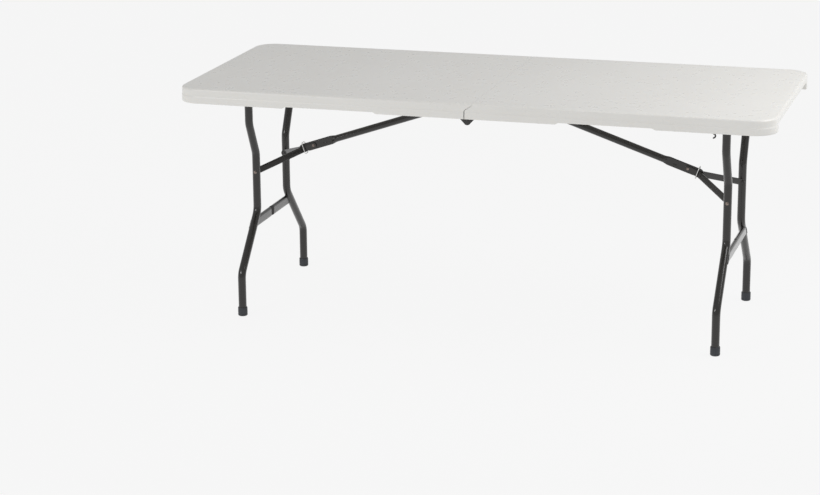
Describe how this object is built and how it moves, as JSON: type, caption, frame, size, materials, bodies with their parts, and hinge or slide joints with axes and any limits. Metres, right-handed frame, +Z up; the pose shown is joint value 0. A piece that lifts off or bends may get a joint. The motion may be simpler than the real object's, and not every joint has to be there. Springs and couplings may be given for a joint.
{
  "type": "folding picnic table",
  "caption": "Rectangular fold-in-half table: pale moulded plastic boards, dark tube legs that swing in under each half on locking braces, and a hinge across the middle.",
  "frame": {"origin": "on the floor, under the middle of the centre seam of the open table", "axes": "+X along the length of the table, towards the right half; +Y across it, away from the front edge; +Z up"},
  "size_m": [1.83, 0.76, 0.74],
  "materials": {
    "board_plastic": "off-white blow-moulded polyethylene with a fine leathery grain and a low sheen",
    "coated_steel": "dark charcoal-brown powder coat, satin to glossy, slightly uneven",
    "zinc_plated": "dull zinc and copper-toned rivets and screws",
    "ring_wire": "bright zinc-plated wire",
    "cap_plastic": "dark blue-grey moulded foot caps, dull"
  },
  "bodies": {
    "left_half": {"table_top_left": "board_plastic", "rail_left_front": "coated_steel", "rail_left_back": "coated_steel", "rail_screws_left": "zinc_plated", "hinge_leaf_left_front": "coated_steel", "hinge_leaf_left_back": "coated_steel", "hinge_pin_front": "coated_steel", "hinge_pin_back": "coated_steel", "axle_bracket_left_front": "coated_steel", "axle_bracket_left_back": "coated_steel", "axle_rivets_left": "zinc_plated", "brace_bracket_left": "coated_steel", "brace_pin_left": "coated_steel"},
    "right_half": {"table_top_right": "board_plastic", "rail_right_front": "coated_steel", "rail_right_back": "coated_steel", "rail_screws_right": "zinc_plated", "hinge_leaf_right_front": "coated_steel", "hinge_leaf_right_back": "coated_steel", "axle_bracket_right_front": "coated_steel", "axle_bracket_right_back": "coated_steel", "axle_rivets_right": "zinc_plated", "brace_bracket_right": "coated_steel", "brace_pin_right": "coated_steel"},
    "leg_frame_left": {"leg_axle_left": "coated_steel", "leg_left_front": "coated_steel", "leg_left_back": "coated_steel", "crossbar_left": "coated_steel", "strap_rivets_left": "zinc_plated", "foot_cap_left_front": "cap_plastic", "foot_cap_left_back": "cap_plastic"},
    "leg_frame_right": {"leg_axle_right": "coated_steel", "leg_right_front": "coated_steel", "leg_right_back": "coated_steel", "crossbar_right": "coated_steel", "strap_rivets_right": "zinc_plated", "foot_cap_right_front": "cap_plastic", "foot_cap_right_back": "cap_plastic"},
    "brace_left": {"brace_tube_left": "coated_steel"},
    "brace_right": {"brace_tube_right": "coated_steel"},
    "straps_left": {"strap_left_front": "coated_steel", "strap_left_back": "coated_steel", "brace_rivet_left": "zinc_plated"},
    "straps_right": {"strap_right_front": "coated_steel", "strap_right_back": "coated_steel", "brace_rivet_right": "zinc_plated"},
    "ring_left": {"lock_ring_left": "ring_wire"},
    "ring_right": {"lock_ring_right": "ring_wire"}
  },
  "joints": [
    {"name": "centre_fold", "type": "hinge", "parent": "left_half", "child": "right_half", "pos_m": [0, 0, 0.681], "axis": [0, 1, 0], "range_deg": [0, 90]},
    {"name": "leg_fold_right", "type": "hinge", "parent": "right_half", "child": "leg_frame_right", "pos_m": [0.749, 0, 0.701], "axis": [0, 1, 0], "range_deg": [0, 90]},
    {"name": "brace_swing_right", "type": "hinge", "parent": "right_half", "child": "brace_right", "pos_m": [0.016, 0, 0.694], "axis": [0, -1, 0], "range_deg": [0, 20.79]},
    {"name": "strap_turn_right", "type": "hinge", "parent": "brace_right", "child": "straps_right", "pos_m": [0.60324, 0, 0.49318], "axis": [0, 1, 0], "range_deg": [0, 172.5]},
    {"name": "ring_slide_right", "type": "slide", "parent": "brace_right", "child": "ring_right", "axis": [-0.9462, 0, 0.3236], "range_m": [0, 0.1801]},
    {"name": "leg_fold_left", "type": "hinge", "parent": "left_half", "child": "leg_frame_left", "pos_m": [-0.749, 0, 0.701], "axis": [0, -1, 0], "range_deg": [0, 90]},
    {"name": "brace_swing_left", "type": "hinge", "parent": "left_half", "child": "brace_left", "pos_m": [-0.016, 0, 0.694], "axis": [0, 1, 0], "range_deg": [0, 20.79]},
    {"name": "strap_turn_left", "type": "hinge", "parent": "brace_left", "child": "straps_left", "pos_m": [-0.60324, 0, 0.49318], "axis": [0, -1, 0], "range_deg": [0, 172.5]},
    {"name": "ring_slide_left", "type": "slide", "parent": "brace_left", "child": "ring_left", "axis": [0.9462, 0, 0.3236], "range_m": [0, 0.1801]}
  ],
  "couplings": [
    {"joint": "brace_swing_right", "follows": "leg_fold_right", "ratio": 0.23088},
    {"joint": "strap_turn_right", "follows": "leg_fold_right", "ratio": 1.916},
    {"joint": "ring_slide_right", "follows": "leg_fold_right", "m_per_rad": 0.11459},
    {"joint": "brace_swing_left", "follows": "leg_fold_left", "ratio": 0.23088},
    {"joint": "strap_turn_left", "follows": "leg_fold_left", "ratio": 1.916},
    {"joint": "ring_slide_left", "follows": "leg_fold_left", "m_per_rad": 0.11459}
  ]
}
